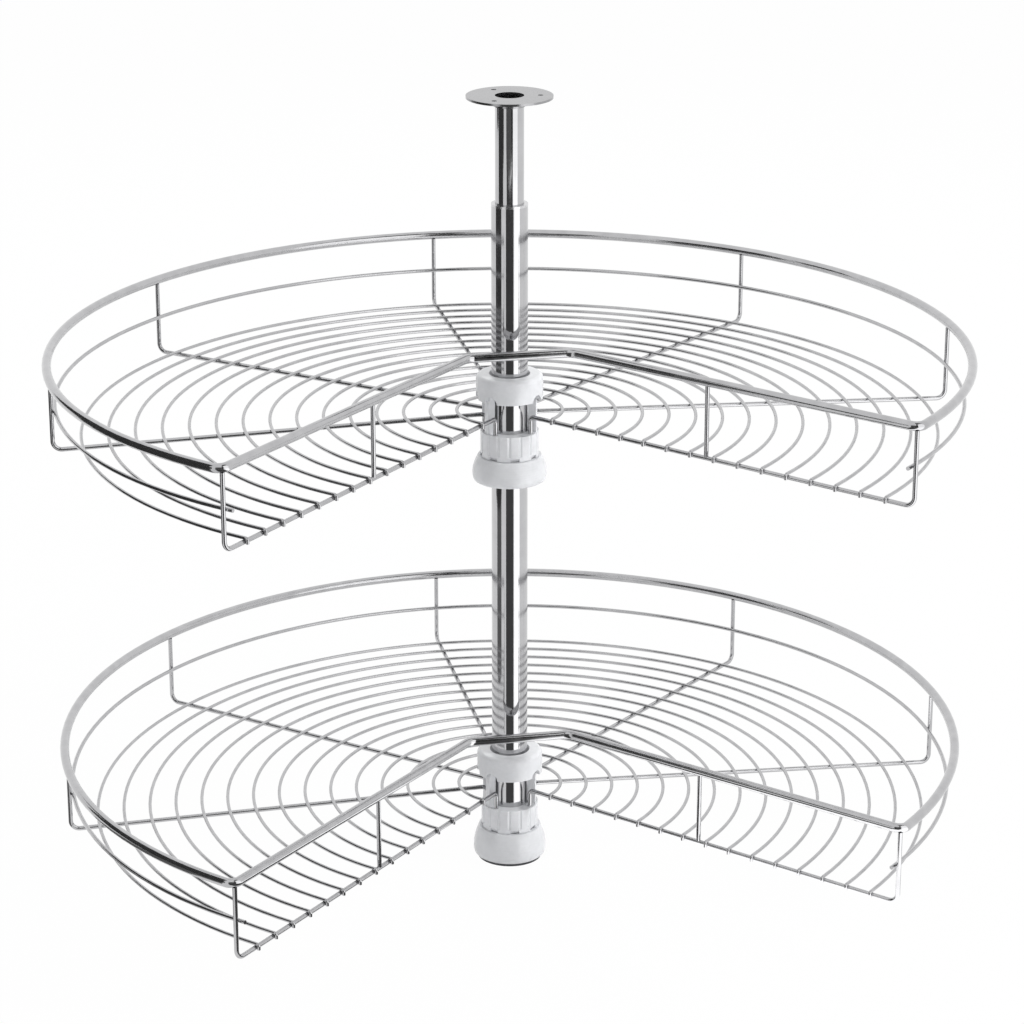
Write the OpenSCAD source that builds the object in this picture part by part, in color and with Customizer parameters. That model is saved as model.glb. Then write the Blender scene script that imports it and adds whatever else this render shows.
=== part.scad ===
// Corner carousel fitting: two three-quarter round wire shelves that turn on
// one telescopic pole. The notch of each shelf opens towards -Y, the pole
// stands on +Z, and the origin is the middle of the floor plate's underside.

/* [Shelf outline] */
// Radius of the rim wire's centre line
rim_r = 401; // [330:1:460]
// Angle that the notch at the front takes out of the circle
notch_angle = 90; // [80:1:100]
// Distance from the pole's axis to the rim's cross wire
chord_offset = 46; // [40:1:60]
// Bend radius of the rim wire at the two outer corners
corner_bend = 8; // [7:0.5:14]
// Bend radius of the rim wire beside the pole
chord_bend = 14; // [9:0.5:20]

/* [Shelf heights] */
// Height of the lower shelf's floor wires at their outer ends
lower_floor_level = 58.5; // [56:0.5:75]
// Height of the upper shelf above the lower shelf
shelf_pitch = 356.5; // [330:0.5:400]
// Height of the rim wire above the floor wires
rim_rise = 68.5; // [55:0.5:90]
// How far the floor wires climb from the posts to the hub
floor_climb = 10; // [8:0.5:12]
// How far the rim's legs climb from the corners to the cross wire
leg_climb = 7; // [5:0.5:12]

/* [Wires] */
// Diameter of the rim wire
rim_wire = 8; // [6:0.5:9]
// Diameter of the radial wires and posts
post_wire = 4; // [3.5:0.1:4.4]
// Diameter of the middle rail's wire
rail_wire = 3.5; // [3:0.1:4]
// Diameter of the floor rings' wire
ring_wire = 3; // [2.5:0.1:3.4]
// Distance from the rim wire's centre line in to the posts
post_inset = 2; // [1:0.1:2.5]
// Bend radius at the foot of each post
foot_bend = 8; // [5:0.5:12]
// Bend radius where a radial wire turns down into the hub
hook_bend = 4; // [3:0.5:6]
// Distance from a cut edge's middle post out to the next floor ring
edge_post_gap = 9; // [4.2:0.1:13]
// Length of the middle rail that stands out past each end post
rail_overhang = 7; // [4:0.5:10]
// Depth to which a welded wire bites into its neighbour
weld_bite = 0.2; // [0.1:0.05:0.4]
// Depth to which a butt welded wire end bites into its neighbour
butt_bite = 1; // [0.6:0.1:1.4]

/* [Floor rings] */
// Distance from the posts in to the outermost floor ring
ring_inset = 25; // [20:0.5:40]
// Radius of the innermost floor ring
ring_inner_r = 46.4; // [44:0.2:60]
// Bend radius of the turned down ring ends
ring_end_bend = 2.2; // [1.9:0.1:2.6]
// Length of the straight piece of a turned down ring end
ring_end_drop = 2.4; // [1:0.1:3.5]

/* [Pole] */
// Outside diameter of the lower tube
lower_tube_d = 32; // [30:0.5:33]
// Outside diameter of the upper tube
upper_tube_d = 25; // [22:0.5:26]
// Wall of both tubes
tube_wall = 1.5; // [1:0.1:1.8]
// Height of the lower tube's top end
lower_tube_top = 612; // [590:1:640]
// Overall height of the pole in the pictured setting
pole_height = 708; // [690:1:730]
// Length of the upper tube that lies inside the lower tube
tube_overlap = 132; // [125:1:160]
// Length of the bush and of the guide between the tubes
sleeve_length = 30; // [20:1:35]
// Thickness of the flange on the bush
bush_lip = 2; // [1.5:0.1:3]

/* [Floor plate and top flange] */
// Diameter of the floor plate
floor_plate_d = 58; // [57:0.5:60]
// Thickness of the floor plate
floor_plate_t = 3; // [2.5:0.1:4]
// Diameter of the circle of screw holes in the floor plate
floor_pcd = 44; // [43:0.5:46]
// Diameter of the top flange
top_flange_d = 75; // [68:0.5:80]
// Thickness of the top flange
top_flange_t = 2; // [1.5:0.1:3]
// Diameter of the circle of screw holes in the top flange
top_pcd = 53; // [48:0.5:56]
// Number of screw holes in each plate
plate_screws = 3; // [3:1:6]
// Diameter of the screw holes
screw_hole_d = 4.5; // [4:0.1:5]
// Direction of the first screw hole in the top flange, from +X
top_hole_turn = -10; // [-60:1:60]
// Height of the top flange's neck
neck_height = 7; // [6:0.5:12]
// Wall of the top flange's neck
neck_wall = 1.4; // [1:0.1:3]
// Depth of the upper tube's end below the top flange's face
tube_recess = 6; // [3:0.5:7]

/* [Hub] */
// Radius of the hub's collar
collar_r = 29.5; // [28:0.1:31]
// Height of the collar's top above the wires' level at the hub
collar_top = 36.5; // [32:0.5:40]
// Height of the collar's underside above the wires' level
collar_bottom = 15; // [10:0.5:18]
// Radius of the shoulder round the collar's top
shoulder_r = 4; // [2:0.5:6]
// Width of the chamfer inside the collar's top
mouth_chamfer = 2; // [1:0.1:3]
// Radius of the arches that let the wires in under the collar
arch_r = 6; // [4:0.5:6]
// Radius of the hub's ribbed ring
ring_body_r = 25.8; // [25.4:0.1:27]
// Depth of the ribbed ring's top face below the wires' level
ring_body_top = 15.5; // [12:0.5:18]
// Depth of the hub's underside below the wires' level
hub_bottom = 38; // [36:0.5:40]
// Radius on which the wires' turned down ends sit
hook_r = 22; // [21:0.1:22.4]
// Depth to which the wire ends sit in the ribbed ring
socket_depth = 7; // [5:0.5:10]
// Width of a pillar between the collar and the ribbed ring
pillar_w = 6; // [5:0.5:7]
// Radial gap inside the pillars, around the pole
pillar_gap = 1.5; // [1:0.1:2]
// Radius of the grooves between the ribs
groove_r = 2.2; // [1.6:0.1:2.6]
// Depth of the grooves between the ribs
groove_depth = 0.7; // [0.4:0.1:0.9]
// Width of the notches in the hub's lower edge
lug_notch_w = 8; // [6:0.5:10]
// Height of the notches in the hub's lower edge
lug_notch_h = 3; // [2:0.5:4]
// Depth of the notches in the hub's lower edge
lug_notch_depth = 2.5; // [1.5:0.1:3]

/* [Support cups] */
// Radius of a cup's upper edge
cup_top_r = 28; // [27.5:0.1:29]
// Largest radius of a cup
cup_r = 33; // [31.5:0.1:36]
// Radius of a cup's lower edge
cup_foot_r = 30.5; // [30:0.1:31]
// Height of the upper cup
upper_cup_h = 22.5; // [21:0.5:27]
// Wall of a cup
cup_wall = 2.5; // [1.8:0.1:2.8]
// Thickness of the floor of a cup's recess
cup_web = 4; // [3:0.5:5]
// Outside radius of the sleeve inside a cup
cup_sleeve_r = 19.5; // [19:0.1:19.6]
// Thickness of the washer that a hub turns on
washer_t = 2; // [1.5:0.1:2.5]
// Outside radius of the washer
washer_r = 24; // [22:0.1:24.4]
// Diameter of the clamping screws
clamp_screw_d = 5; // [4:0.5:5]
// Width across flats of a clamping screw's key socket
key_size = 2.5; // [2:0.5:2.5]
// Depth of a clamping screw's key socket
key_depth = 2.5; // [1.5:0.5:3]

/* [Clearances] */
// Radial gap between a hub or a cup and the pole
hub_gap = 0.1; // [0.05:0.01:0.1]
// Radial gap between the sleeves and the sliding tubes
slide_gap = 0.1; // [0.05:0.01:0.1]
// Gap between pieces that are fixed to one another
seat_gap = 0.05; // [0.02:0.01:0.1]
// Gap between faces that turn or slide past each other
turn_gap = 0.3; // [0.2:0.05:0.4]

/* [Hidden] */
$fn = 64;

chrome = "silver";
steel = "gray";
dark_steel = "dimgray";
white_plastic = "whitesmoke";
cut = 1;                        // how far a cutting solid runs past a face
spoke_count = 7;                // radial wires in each shelf
ring_groups = 5;                // ring nodes in each shelf
rings_per_group = 3;
rings_outside_post = 8;         // floor rings that lie outside a middle post
cup_lift = 6;                   // a cup's sleeve ends this far above its foot
cup_round = 6;                  // height over which a cup's lower edge is rounded
edge = 1.5;                     // how far the hub's pillars stand inside its ribbed ring
bend_swell = 0.02;              // a bend's surplus radius over its wire
bend_lap = 0.2;                 // how far a straight reaches into a bend
round_steps = 6;                // facets of a small quarter round
cup_steps = 8;                  // facets down a cup's side and round its foot

// Angles: the right-hand cut edge, the left-hand one and the wires between
notch_half = notch_angle / 2;
edge_right = -90 + notch_half;
edge_left = 270 - notch_half;
spoke_step = (edge_left - edge_right) / (spoke_count - 1);

// Heights
floor_levels = [lower_floor_level, lower_floor_level + shelf_pitch];
function hub_level(shelf) = floor_levels[shelf] + floor_climb;
hook_foot = ring_body_top + socket_depth;
post_top = rim_rise - rim_wire / 2 + butt_bite;

// Radii
lower_tube_r = lower_tube_d / 2;
upper_tube_r = upper_tube_d / 2;
pole_bore_r = lower_tube_r + hub_gap;
post_r = rim_r - post_inset;
rail_r = post_r - post_wire / 2 - rail_wire / 2 + weld_bite;
ring_outer_r = post_r - ring_inset;
ring_pitch = (ring_outer_r - ring_inner_r) / (ring_groups * rings_per_group - 1);
edge_post_r = ring_outer_r - (rings_outside_post - 1) * ring_pitch - edge_post_gap;
ring_seat = post_wire / 2 + ring_wire / 2 - weld_bite;

// The rim turns the outer corner on an arc that meets the circle and the leg
corner_a = asin(corner_bend / (rim_r - corner_bend));
corner_x = rim_r / cos(corner_a);
corner_trim = rim_r * tan(corner_a);
chord_x = chord_offset / cos(notch_half);

// Height of the floor wires and of the rim's legs at radius r, above the floor level
function floor_z(r) = floor_climb * (post_r - r) / (post_r - hook_r);
function leg_z(r) = rim_rise + leg_climb * (corner_x - r) / (corner_x - chord_x);

// ---- bent wire: straight lengths joined by round bends --------------------
function unit(v) = v / norm(v);
function heading(p, i) = unit(p[i + 1] - p[i]);
function turn(p, i) = acos(heading(p, i - 1) * heading(p, i));
function is_end(p, i) = i == 0 || i == len(p) - 1;
function trim(p, i, bends) = is_end(p, i) ? 0 : bends[i] * tan(turn(p, i) / 2);

function lap_at(p, i) = is_end(p, i) ? 0 : bend_lap;

module along(a, b, d) {
    v = b - a;
    translate(a)
        rotate([0, acos(v[2] / norm(v)), atan2(v[1], v[0])])
            cylinder(d = d, h = norm(v));
}

module elbow(p, i, d, bend) {
    u = heading(p, i - 1);
    w = heading(p, i);
    axis = unit(cross(u, w));
    inward = cross(axis, u);
    centre = p[i] - u * bend * tan(turn(p, i) / 2) + inward * bend;
    multmatrix([[-inward[0], u[0], axis[0], centre[0]],
                [-inward[1], u[1], axis[1], centre[1]],
                [-inward[2], u[2], axis[2], centre[2]],
                [0, 0, 0, 1]])
        rotate_extrude(angle = turn(p, i))
            translate([bend, 0])
                circle(d = d);
}

// Wire of diameter d through the points p; bends[i] is the bend radius at p[i].
// A bend is a hair thicker than the wire, and the straights reach a little into it.
module bent_wire(p, d, bends) {
    for (i = [0 : len(p) - 2]) {
        a = p[i] + heading(p, i) * trim(p, i, bends);
        b = p[i + 1] - heading(p, i) * trim(p, i + 1, bends);
        if (norm(b - a) > bend_lap)
            along(a - heading(p, i) * lap_at(p, i), b + heading(p, i) * lap_at(p, i + 1), d);
    }
    for (i = [1 : len(p) - 2]) elbow(p, i, d + 2 * bend_swell, bends[i]);
}

function at(r, a, z) = [r * cos(a), r * sin(a), z];

// Arc of wire about the pole; lap lengthens each end by that much
module arc_wire(r, d, from, to, lap = 0) {
    past = atan(lap / r);
    rotate([0, 0, from - past])
        rotate_extrude(angle = to - from + 2 * past)
            translate([r, 0])
                circle(d = d);
}

// ---- shelf wires, drawn above the shelf's floor level -----------------------
module rim() {
    corner = [at(rim_r, corner_a, rim_rise), [corner_x, 0, rim_rise],
              [chord_x, 0, leg_z(chord_x)]];
    right = [for (q = corner) turned(q, edge_right)];
    left = [for (q = corner) turned([q[0], -q[1], q[2]], edge_left)];
    loop = [right[0], right[1], right[2], left[2], left[1], left[0]];
    corner_radius = corner_trim / tan(turn(loop, 1) / 2);
    color(chrome) union() {
        translate([0, 0, rim_rise])
            arc_wire(rim_r, rim_wire, edge_right + corner_a, edge_left - corner_a, bend_lap);
        bent_wire(loop, rim_wire,
            [0, corner_radius, chord_bend, chord_bend, corner_radius, 0]);
    }
}

function turned(q, a) =
    [q[0] * cos(a) - q[1] * sin(a), q[0] * sin(a) + q[1] * cos(a), q[2]];

module mid_rail() {
    past = atan(rail_overhang / rail_r);
    color(chrome) translate([0, 0, rim_rise / 2])
        arc_wire(rail_r, rail_wire, edge_right - past, edge_left + past);
}

// One wire: hooked into the hub, out along the floor and up as a post
module spoke(index) {
    path = [[hook_r, 0, floor_climb - hook_foot], [hook_r, 0, floor_climb],
            [post_r, 0, 0], [post_r, 0, post_top]];
    color(chrome) rotate([0, 0, edge_right + (index - 1) * spoke_step])
        bent_wire(path, post_wire, [0, hook_bend, foot_bend, 0]);
}

module edge_post(angle) {
    foot = floor_z(edge_post_r) + post_wire / 2 - butt_bite;
    head = leg_z(edge_post_r) - rim_wire / 2 + butt_bite;
    color(chrome) along(at(edge_post_r, angle, foot), at(edge_post_r, angle, head), post_wire);
}

// A floor ring lies on the radial wires and turns down past the two edge wires
module floor_ring(r) {
    z = floor_z(r) + ring_seat;
    past = asin((ring_seat - ring_end_bend) / r);
    first = edge_right - past;
    last = edge_left + past;
    translate([0, 0, z]) arc_wire(r, ring_wire, first, last, bend_lap);
    ring_end(r, z, first, -1);
    ring_end(r, z, last, 1);
}

module ring_end(r, z, a, side) {
    start = at(r, a, z);
    bend = start + side * ring_end_bend * [-sin(a), cos(a), 0];
    foot = bend - [0, 0, ring_end_bend + ring_end_drop];
    bent_wire([start, bend, foot], ring_wire, [0, ring_end_bend, 0]);
}

module floor_rings(group)
    color(chrome)
        for (i = [0 : rings_per_group - 1])
            floor_ring(ring_outer_r - ((group - 1) * rings_per_group + i) * ring_pitch);

// ---- hub, drawn about the level at which the wires reach it -----------------
module ring_of(r_out, r_in, low, high)
    rotate_extrude()
        translate([r_in, low])
            square([r_out - r_in, high - low]);

module hub() {
    pillar_in = pole_bore_r + pillar_gap;
    shoulder = [for (i = [0 : round_steps]) let (a = i * 90 / round_steps)
        [collar_r - shoulder_r * (1 - cos(a)), collar_top - shoulder_r * (1 - sin(a))]];
    color(white_plastic) difference() {
        union() {
            difference() {
                rotate_extrude()
                    polygon(concat([[pole_bore_r, collar_bottom], [collar_r, collar_bottom]],
                        shoulder, [[pole_bore_r + mouth_chamfer, collar_top],
                        [pole_bore_r, collar_top - 2 * mouth_chamfer]]));
                for (i = [0 : spoke_count - 1])
                    rotate([0, 0, edge_right + i * spoke_step])
                        translate([0, 0, collar_bottom]) rotate([0, 90, 0])
                            cylinder(r = arch_r, h = collar_r + cut);
            }
            ring_of(ring_body_r, pole_bore_r, -hub_bottom, -ring_body_top);
            for (i = [0 : spoke_count - 2])
                rotate([0, 0, edge_right + (i + 0.5) * spoke_step])
                    intersection() {
                        ring_of(ring_body_r - edge, pillar_in, -ring_body_top - cut,
                            collar_bottom + arch_r);
                        translate([0, -pillar_w / 2, -hub_bottom])
                            cube([collar_r, pillar_w, hub_bottom + collar_top]);
                    }
        }
        for (i = [0 : spoke_count - 1])
            rotate([0, 0, edge_right + i * spoke_step])
                translate([hook_r, 0, -hook_foot - seat_gap])
                    cylinder(d = post_wire + 2 * seat_gap, h = socket_depth + seat_gap + cut);
        for (i = [0 : 2 * 360 / spoke_step - 1])
            rotate([0, 0, edge_right + (i / 2 + 0.25) * spoke_step])
                translate([ring_body_r + groove_r - groove_depth, 0, -hub_bottom + lug_notch_h + cut])
                    cylinder(r = groove_r, h = hub_bottom);
        for (i = [0 : 360 / spoke_step - 1])
            rotate([0, 0, edge_right + i * spoke_step])
                translate([ring_body_r - lug_notch_depth, -lug_notch_w / 2, -hub_bottom - cut])
                    cube([2 * lug_notch_depth, lug_notch_w, lug_notch_h + cut]);
    }
}

// ---- support cup: its top edge at z = 0, its foot at z = -h ------------------
cup_recess = washer_t + seat_gap;
function screw_level(h) = -(cup_recess + cup_web + h - cup_lift) / 2;

module cup(h) {
    straight = h - cup_round;
    bulge = [for (i = [0 : cup_steps]) let (a = i * 90 / cup_steps)
        [cup_foot_r + (cup_r - cup_foot_r) * sin(a), -h + cup_round * (1 - cos(a))]];
    flare = [for (i = [1 : cup_steps]) let (t = i / cup_steps)
        [cup_r - (cup_r - cup_top_r) * t * t, -straight * (1 - t)]];
    inside = [[washer_r + 2 * seat_gap, 0], [washer_r + 2 * seat_gap, -cup_recess],
        [pole_bore_r, -cup_recess], [pole_bore_r, -h + cup_lift],
        [cup_sleeve_r, -h + cup_lift], [cup_sleeve_r, -cup_recess - cup_web],
        [cup_top_r - cup_wall, -cup_recess - cup_web],
        [cup_foot_r - cup_wall, -straight], [cup_foot_r - cup_wall, -h]];
    color(white_plastic) difference() {
        rotate_extrude() polygon(concat(bulge, flare, inside));
        translate([0, 0, screw_level(h)]) rotate([-90, 0, 0])
            translate([0, 0, lower_tube_r - cut])
                cylinder(d = clamp_screw_d + 2 * seat_gap, h = cup_r);
    }
}

module washer()
    color(steel) translate([0, 0, -washer_t])
        difference() {
            cylinder(r = washer_r, h = washer_t);
            translate([0, 0, -cut]) cylinder(r = pole_bore_r + seat_gap, h = washer_t + 2 * cut);
        }

// Screw along +Y from radius r_tip to radius r_head, with a key socket in its head
module clamp_screw(r_tip, r_head)
    color(dark_steel) rotate([-90, 0, 0]) difference() {
        translate([0, 0, r_tip]) cylinder(d = clamp_screw_d, h = r_head - r_tip);
        translate([0, 0, r_head - key_depth])
            cylinder(d = key_size / cos(30), h = key_depth + cut, $fn = 6);
    }

module cup_screw(h)
    translate([0, 0, screw_level(h)])
        clamp_screw(lower_tube_r + seat_gap, cup_foot_r);

// ---- pole ------------------------------------------------------------------
lock_level = lower_tube_top - sleeve_length / 2;
guide_foot = lower_tube_top - tube_overlap;

module pipe(r_out, r_in, low, high)
    difference() {
        translate([0, 0, low]) cylinder(r = r_out, h = high - low);
        translate([0, 0, low - cut]) cylinder(r = r_in, h = high - low + 2 * cut);
    }

module lock_hole()
    translate([0, 0, lock_level]) rotate([-90, 0, 0])
        cylinder(d = clamp_screw_d + 2 * seat_gap, h = lower_tube_d);

module screw_holes(pcd, first)
    for (i = [0 : plate_screws - 1])
        rotate([0, 0, first + i * 360 / plate_screws])
            translate([pcd / 2, 0, -cut])
                cylinder(d = screw_hole_d, h = floor_plate_t + top_flange_t + 2 * cut);

module floor_plate()
    color(dark_steel) difference() {
        cylinder(d = floor_plate_d, h = floor_plate_t);
        screw_holes(floor_pcd, 90);
    }

module lower_tube()
    color(chrome) difference() {
        pipe(lower_tube_r, lower_tube_r - tube_wall, floor_plate_t, lower_tube_top);
        lock_hole();
    }

module tube_bush() {
    bore = upper_tube_r + slide_gap;
    color(steel) difference() {
        union() {
            pipe(lower_tube_r - tube_wall - seat_gap, bore,
                lower_tube_top - sleeve_length, lower_tube_top + bush_lip);
            pipe(lower_tube_r, bore, lower_tube_top, lower_tube_top + bush_lip);
        }
        lock_hole();
    }
}

module tube_lock_screw()
    translate([0, 0, lock_level])
        clamp_screw(upper_tube_r + turn_gap, lower_tube_r + bush_lip);

module upper_tube()
    color(chrome)
        pipe(upper_tube_r, upper_tube_r - tube_wall, guide_foot, pole_height - tube_recess);

module inner_guide()
    color(dark_steel)
        pipe(lower_tube_r - tube_wall - slide_gap, upper_tube_r + seat_gap,
            guide_foot, guide_foot + sleeve_length);

module top_flange() {
    bore = upper_tube_r + seat_gap;
    neck = bore + neck_wall;
    sweep = neck_height / 2;
    fillet = [for (i = [0 : round_steps]) let (a = i * 90 / round_steps)
        [neck + sweep * (1 - cos(a)), -top_flange_t - sweep * (1 - sin(a))]];
    color(steel) difference() {
        translate([0, 0, pole_height]) rotate_extrude()
            polygon(concat([[bore, -top_flange_t - neck_height], [neck, -top_flange_t - neck_height]],
                fillet, [[top_flange_d / 2, -top_flange_t], [top_flange_d / 2, 0], [bore, 0]]));
        translate([0, 0, pole_height - top_flange_t]) screw_holes(top_pcd, top_hole_turn);
    }
}

// ---- places ------------------------------------------------------------------
lower = 0;
upper = 1;
function cup_level(shelf) = hub_level(shelf) - hub_bottom - turn_gap;
lower_cup_h = cup_level(lower) - floor_plate_t;

module on_shelf(shelf) translate([0, 0, floor_levels[shelf]]) children();
module at_hub(shelf) translate([0, 0, hub_level(shelf)]) children();
module at_cup(shelf) translate([0, 0, cup_level(shelf)]) children();

floor_plate();
lower_tube();
tube_bush();
tube_lock_screw();
at_cup(lower) cup(lower_cup_h);  // lower_cup
at_cup(lower) cup_screw(lower_cup_h);  // lower_cup_screw
at_cup(lower) washer();  // lower_washer
upper_tube();
top_flange();
inner_guide();
at_cup(upper) cup(upper_cup_h);  // upper_cup
at_cup(upper) cup_screw(upper_cup_h);  // upper_cup_screw
at_cup(upper) washer();  // upper_washer

at_hub(lower) hub();  // lower_hub
on_shelf(lower) rim();  // lower_rim
on_shelf(lower) mid_rail();  // lower_mid_rail
for (i = [1 : spoke_count])
    on_shelf(lower) spoke(i);
on_shelf(lower) edge_post(edge_left);  // lower_edge_post_left
on_shelf(lower) edge_post(edge_right);  // lower_edge_post_right
for (i = [1 : ring_groups])
    on_shelf(lower) floor_rings(i);

at_hub(upper) hub();  // upper_hub
on_shelf(upper) rim();  // upper_rim
on_shelf(upper) mid_rail();  // upper_mid_rail
for (i = [1 : spoke_count])
    on_shelf(upper) spoke(i);
on_shelf(upper) edge_post(edge_left);  // upper_edge_post_left
on_shelf(upper) edge_post(edge_right);  // upper_edge_post_right
for (i = [1 : ring_groups])
    on_shelf(upper) floor_rings(i);
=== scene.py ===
"""Corner carousel fitting: two wire shelves that turn on one telescopic pole.

The CAD pieces keep their shapes and get their materials here. Around them stands a studio: a
pale floor, soft lamps for the white parts, and cards that show only in the chrome.
"""
from math import radians
import bpy
from mathutils import Matrix, Vector

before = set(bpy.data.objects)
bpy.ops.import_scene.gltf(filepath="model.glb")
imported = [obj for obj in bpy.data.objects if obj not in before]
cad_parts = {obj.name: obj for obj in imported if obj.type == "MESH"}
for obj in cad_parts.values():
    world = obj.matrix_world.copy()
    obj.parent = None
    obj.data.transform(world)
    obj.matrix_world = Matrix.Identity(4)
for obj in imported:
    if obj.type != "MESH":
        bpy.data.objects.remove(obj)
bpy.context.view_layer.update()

# ---- camera, from the picture's own vanishing lines (metres, degrees; lens in mm) ----
CAMERA_DISTANCE = 2.7894
CAMERA_HEIGHT = 1.3075
CAMERA_TURN = -10.828
CAMERA_PITCH = 19.268
CAMERA_YAW = 0.043
CAMERA_LENS = 117.01
SENSOR = 36.0
CLIP_START = 0.05
CLIP_END = 100

# ---- grain of the materials ----
GRAIN_LOW = 0.3
GRAIN_HIGH = 0.7
METAL_DETAIL = 4
PLASTIC_DETAIL = 3
RELIEF_DEPTH = 0.0002

# ---- floor, world and lamps ----
WHITE = (1, 1, 1, 1)
FLOOR_SIDE = 40.0
FLOOR_COLOUR = (0.86, 0.86, 0.87, 1)
FLOOR_ROUGHNESS = 0.9
FLOOR_WHITE_SHARE = 0.98
WORLD_LIGHT = 0.55
LAMP_TARGET = (0, 0, 0.4)

# Each lamp's name, place, side and watts.
LAMPS = (
    ("key", (2.5, -1.15, 1.9), 0.8, 58),
    ("fill", (-2.0, -1.4, 2.0), 1.0, 2),
    ("back", (0.5, 2.5, 1.9), 1.2, 30),
)

# ---- cards ----
CARD_BLACK = (0.01, 0.01, 0.01, 1)
NEAR = 0.06
FAR = 1.5
FLOOR_LIFT = 0.004
LOW_TOP = 0.3

# Each card's name, its two turns about the pole from the camera's side, the reach and the
# height of its first and its second edge, and its glow.
CARDS = (
    ("front_card", (-26, 15), (FAR, FAR), (LOW_TOP, 1.2), 0.1),
    ("front_tall_card", (15, 26), (FAR, FAR), (LOW_TOP, 2.4), 0),
    ("front_low_card", (-23, 24), (FAR, FAR), (0.0, LOW_TOP), 0.05),
    ("front_floor_card", (-23, 24), (NEAR, FAR), (FLOOR_LIFT, FLOOR_LIFT), 0.05),
    ("right_box", (27, 66), (FAR, FAR), (LOW_TOP, 2.3), 1.6),
    ("right_low_box", (29, 66), (FAR, FAR), (0.0, LOW_TOP), 2.0),
    ("right_floor_box", (29, 66), (NEAR, FAR), (FLOOR_LIFT, FLOOR_LIFT), 2.0),
    ("left_card", (-95, -52), (0.75, 0.75), (0.1, 1.1), 0.03),
    ("left_back_card", (-116, -96), (1.0, 1.0), (0.46, 1.0), 0.03),
    ("left_tall_card", (-72, -46), (FAR, FAR), (LOW_TOP, 0.95), 0.05),
    ("left_low_card", (-86, -54), (FAR, FAR), (0.0, LOW_TOP), 0.12),
    ("left_floor_card", (-86, -54), (0.45, FAR), (FLOOR_LIFT, FLOOR_LIFT), 0.12),
    ("right_canopy", (22, 75), (0.45, 1.9), (2.4, 2.4), 0),
)


# ================================================================= materials
def new_material(name):
    """A material and its shader."""
    material = bpy.data.materials.new(name)
    material.use_nodes = True
    return material, material.node_tree.nodes["Principled BSDF"]


def grain(tree, scale, detail):
    """Fine noise in object space; returns its value socket."""
    where = tree.nodes.new("ShaderNodeTexCoord")
    noise = tree.nodes.new("ShaderNodeTexNoise")
    noise.inputs["Scale"].default_value = scale
    noise.inputs["Detail"].default_value = detail
    tree.links.new(where.outputs["Object"], noise.inputs["Vector"])
    return noise.outputs["Fac"]


def spread(tree, source, low, high):
    """Maps the grain to the range from low to high."""
    ramp = tree.nodes.new("ShaderNodeMapRange")
    ramp.inputs["From Min"].default_value = GRAIN_LOW
    ramp.inputs["From Max"].default_value = GRAIN_HIGH
    ramp.inputs["To Min"].default_value = low
    ramp.inputs["To Max"].default_value = high
    tree.links.new(source, ramp.inputs["Value"])
    return ramp.outputs["Result"]


def tint(tree, source, dark, light):
    """Mixes two colours by the grain."""
    ramp = tree.nodes.new("ShaderNodeValToRGB")
    ramp.color_ramp.elements[0].position = GRAIN_LOW
    ramp.color_ramp.elements[0].color = (*dark, 1)
    ramp.color_ramp.elements[1].position = GRAIN_HIGH
    ramp.color_ramp.elements[1].color = (*light, 1)
    tree.links.new(source, ramp.inputs["Fac"])
    return ramp.outputs["Color"]


def metal(name, dark, light, rough, scale):
    """Plated or bare metal: its colour and gloss vary a little over the surface."""
    material, shader = new_material(name)
    tree = material.node_tree
    noise = grain(tree, scale, METAL_DETAIL)
    tree.links.new(tint(tree, noise, dark, light), shader.inputs["Base Color"])
    tree.links.new(spread(tree, noise, *rough), shader.inputs["Roughness"])
    shader.inputs["Metallic"].default_value = 1
    return material


def plastic(name, dark, light, rough, scale, bump):
    """Moulded plastic with a faint grain."""
    material, shader = new_material(name)
    tree = material.node_tree
    noise = grain(tree, scale, PLASTIC_DETAIL)
    tree.links.new(tint(tree, noise, dark, light), shader.inputs["Base Color"])
    tree.links.new(spread(tree, noise, *rough), shader.inputs["Roughness"])
    relief = tree.nodes.new("ShaderNodeBump")
    relief.inputs["Strength"].default_value = bump
    relief.inputs["Distance"].default_value = RELIEF_DEPTH
    tree.links.new(noise, relief.inputs["Height"])
    tree.links.new(relief.outputs["Normal"], shader.inputs["Normal"])
    return material


# Each finish's name, darkest and lightest colour, least and most roughness, and grain scale.
tube_chrome = metal("tube chrome", (0.50, 0.50, 0.51), (0.55, 0.55, 0.56), (0.05, 0.08), 60)
wire_chrome = metal("wire chrome", (0.46, 0.46, 0.47), (0.53, 0.53, 0.54), (0.10, 0.16), 90)
# The flange's colour is darker than its steel: painted shade that stands in for the grey
# ceiling its top mirrors.
flange_steel_painted_shade = metal("plated flange with painted shade", (0.32, 0.32, 0.33), (0.39, 0.39, 0.40), (0.16, 0.24), 120)
washer_steel = metal("washer steel", (0.58, 0.58, 0.59), (0.66, 0.66, 0.67), (0.24, 0.32), 150)
bush_metal = metal("bush metal", (0.62, 0.62, 0.63), (0.70, 0.70, 0.71), (0.18, 0.26), 150)
screw_steel = metal("screw steel", (0.22, 0.22, 0.23), (0.30, 0.30, 0.31), (0.30, 0.40), 300)
dark_plate = metal("dark plate", (0.05, 0.05, 0.055), (0.08, 0.08, 0.085), (0.40, 0.50), 120)

# The plastics also have the strength of their relief.
guide_plastic = plastic(
    "guide plastic", (0.03, 0.03, 0.03), (0.05, 0.05, 0.05), (0.40, 0.50), 200, 0.2)
white_plastic = plastic(
    "white plastic", (0.82, 0.83, 0.85), (0.86, 0.87, 0.89), (0.20, 0.27), 240, 0.1)

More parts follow.
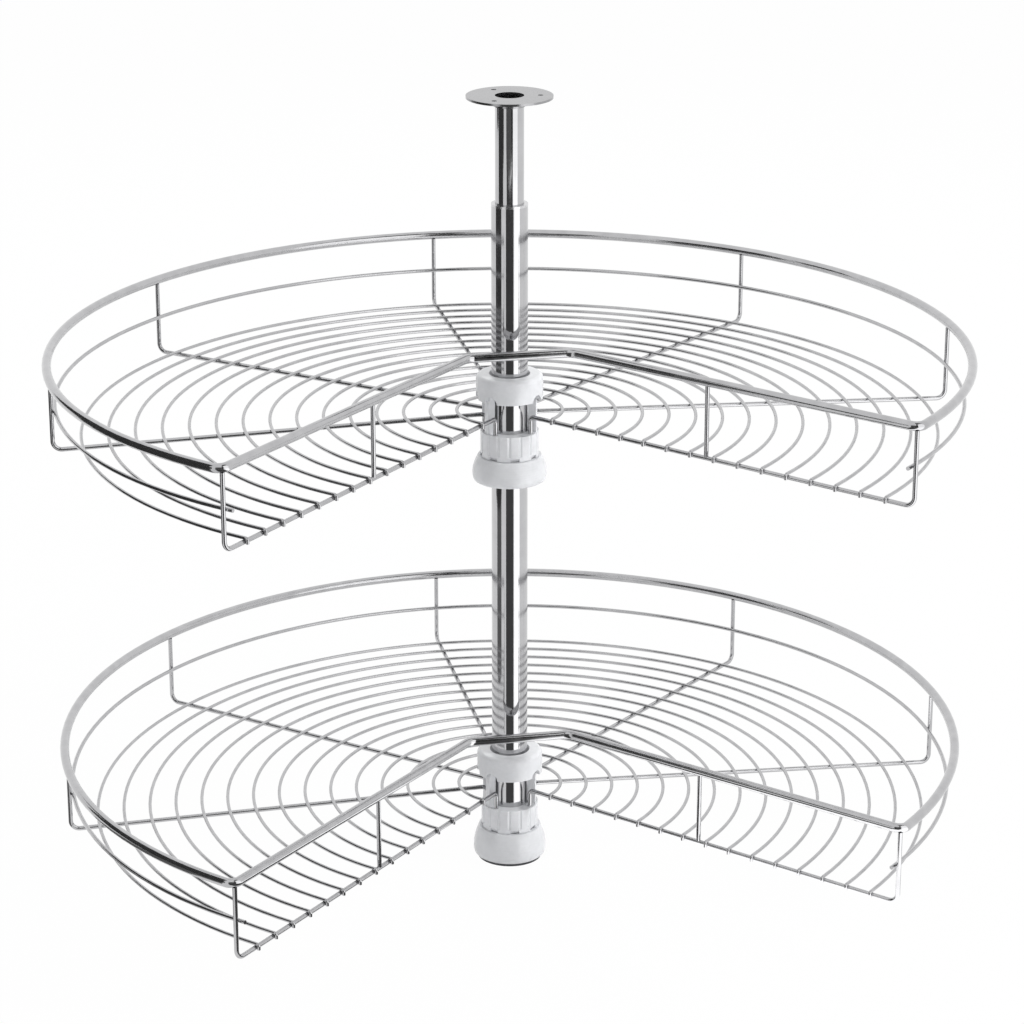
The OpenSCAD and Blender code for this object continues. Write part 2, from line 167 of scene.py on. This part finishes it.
# Every node that isn't named here is a wire of a shelf.
FINISH = {
    "floor_plate": dark_plate,
    "lower_tube": tube_chrome,
    "upper_tube": tube_chrome,
    "tube_bush": bush_metal,
    "tube_lock_screw": screw_steel,
    "lower_cup_screw": screw_steel,
    "upper_cup_screw": screw_steel,
    "lower_washer": washer_steel,
    "upper_washer": washer_steel,
    "top_flange": flange_steel_painted_shade,
    "inner_guide": guide_plastic,
    "lower_hub": white_plastic,
    "upper_hub": white_plastic,
    "lower_cup": white_plastic,
    "upper_cup": white_plastic,
}

for name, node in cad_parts.items():
    finish = FINISH.get(name, wire_chrome)
    for slot in node.material_slots:
        slot.material = finish


# ================================================================= studio
def seen_directly(tree):
    """1 where the eye sees the surface, also by way of metal or glass, and 0 elsewhere."""
    path = tree.nodes.new("ShaderNodeLightPath")
    seen = path.outputs["Is Camera Ray"]
    for way in ("Is Glossy Ray", "Is Transmission Ray"):
        either = tree.nodes.new("ShaderNodeMath")
        either.operation = "MAXIMUM"
        tree.links.new(seen, either.inputs[0])
        tree.links.new(path.outputs[way], either.inputs[1])
        seen = either.outputs[0]
    return seen


def blend_shaders(tree, share, first, second, output):
    """Leads two shaders to an output node: the first at share 0, the second at share 1."""
    mix = tree.nodes.new("ShaderNodeMixShader")
    tree.links.new(share, mix.inputs["Fac"])
    tree.links.new(first.outputs[0], mix.inputs[1])
    tree.links.new(second.outputs[0], mix.inputs[2])
    tree.links.new(mix.outputs[0], tree.nodes[output].inputs["Surface"])


def floor_material():
    """Pale floor: white to the eye and in the metal, with the object's soft shadow on it."""
    material, shader = new_material("studio floor")
    tree = material.node_tree
    shader.inputs["Base Color"].default_value = FLOOR_COLOUR
    shader.inputs["Roughness"].default_value = FLOOR_ROUGHNESS
    glow = tree.nodes.new("ShaderNodeEmission")
    glow.inputs["Color"].default_value = WHITE
    glow.inputs["Strength"].default_value = 1
    share = tree.nodes.new("ShaderNodeMath")
    share.operation = "MULTIPLY"
    share.inputs[1].default_value = FLOOR_WHITE_SHARE
    tree.links.new(seen_directly(tree), share.inputs[0])
    blend_shaders(tree, share.outputs[0], shader, glow, "Material Output")
    return material


def flat_square(name, side, material):
    """A flat square that lies on the origin, with its material."""
    bpy.ops.object.select_all(action="DESELECT")
    bpy.ops.mesh.primitive_plane_add(size=side, location=(0, 0, 0))
    square = bpy.context.object
    square.name = name
    square.data.materials.append(material)
    return square


def build_floor():
    """The floor that the fitting stands on."""
    floor = flat_square("studio_floor", FLOOR_SIDE, floor_material())


def build_world():
    """White to the eye and in the metal, and a softer light on everything else."""
    world = bpy.data.worlds.new("studio")
    bpy.context.scene.world = world
    world.use_nodes = True
    tree = world.node_tree
    soft = tree.nodes["Background"]
    soft.inputs["Color"].default_value = WHITE
    soft.inputs["Strength"].default_value = WORLD_LIGHT
    white = tree.nodes.new("ShaderNodeBackground")
    white.inputs["Color"].default_value = WHITE
    white.inputs["Strength"].default_value = 1
    blend_shaders(tree, seen_directly(tree), soft, white, "World Output")


def build_card(name, turns, reaches, heights, glow):
    """A card that shows only in reflections: black, or as bright as its glow."""
    material, shader = new_material(name)
    shader.inputs["Base Color"].default_value = CARD_BLACK
    shader.inputs["Roughness"].default_value = 1
    shader.inputs["Emission Color"].default_value = WHITE
    shader.inputs["Emission Strength"].default_value = glow
    panel = flat_square(name, 1, material)
    corners = [(turn, edge) for edge in zip(reaches, heights) for turn in turns]
    for vertex, (turn, (reach, height)) in zip(panel.data.vertices, corners):
        spin = Matrix.Rotation(radians(CAMERA_TURN + turn), 4, "Z")
        vertex.co = spin @ Vector((0, -reach, height))
    panel.visible_camera = False
    panel.visible_diffuse = False
    panel.visible_shadow = False
    panel.visible_transmission = False


def build_lamp(name, place, side, watts):
    """A soft square lamp for the white parts; the chrome mirrors the cards and not the lamp."""
    bpy.ops.object.light_add(type="AREA", location=place)
    lamp = bpy.context.object
    lamp.name = name
    lamp.data.shape = "SQUARE"
    lamp.data.size = side
    lamp.data.energy = watts
    aim = Vector(LAMP_TARGET) - Vector(place)
    lamp.rotation_mode = "QUATERNION"
    lamp.rotation_quaternion = aim.to_track_quat("-Z", "Y")
    lamp.visible_glossy = False


def build_camera():
    """The camera, at the picture's own viewing angle."""
    data = bpy.data.cameras.new("camera")
    data.sensor_width = SENSOR
    data.sensor_height = SENSOR
    data.lens = CAMERA_LENS
    data.clip_start = CLIP_START
    data.clip_end = CLIP_END
    camera = bpy.data.objects.new("camera", data)
    bpy.context.scene.collection.objects.link(camera)
    turn = Matrix.Rotation(radians(CAMERA_TURN), 4, "Z")
    stand = Matrix.Translation((0, -CAMERA_DISTANCE, CAMERA_HEIGHT))
    aside = Matrix.Rotation(radians(-CAMERA_YAW), 4, "Z")
    down = Matrix.Rotation(radians(90 - CAMERA_PITCH), 4, "X")
    camera.matrix_world = turn @ stand @ (aside @ down)
    bpy.context.scene.camera = camera


build_floor()
build_world()
for name, turns, reaches, heights, glow in CARDS:
    build_card(name, turns, reaches, heights, glow)
for name, place, side, watts in LAMPS:
    build_lamp(name, place, side, watts)
build_camera()
bpy.context.scene.view_settings.view_transform = "Standard"
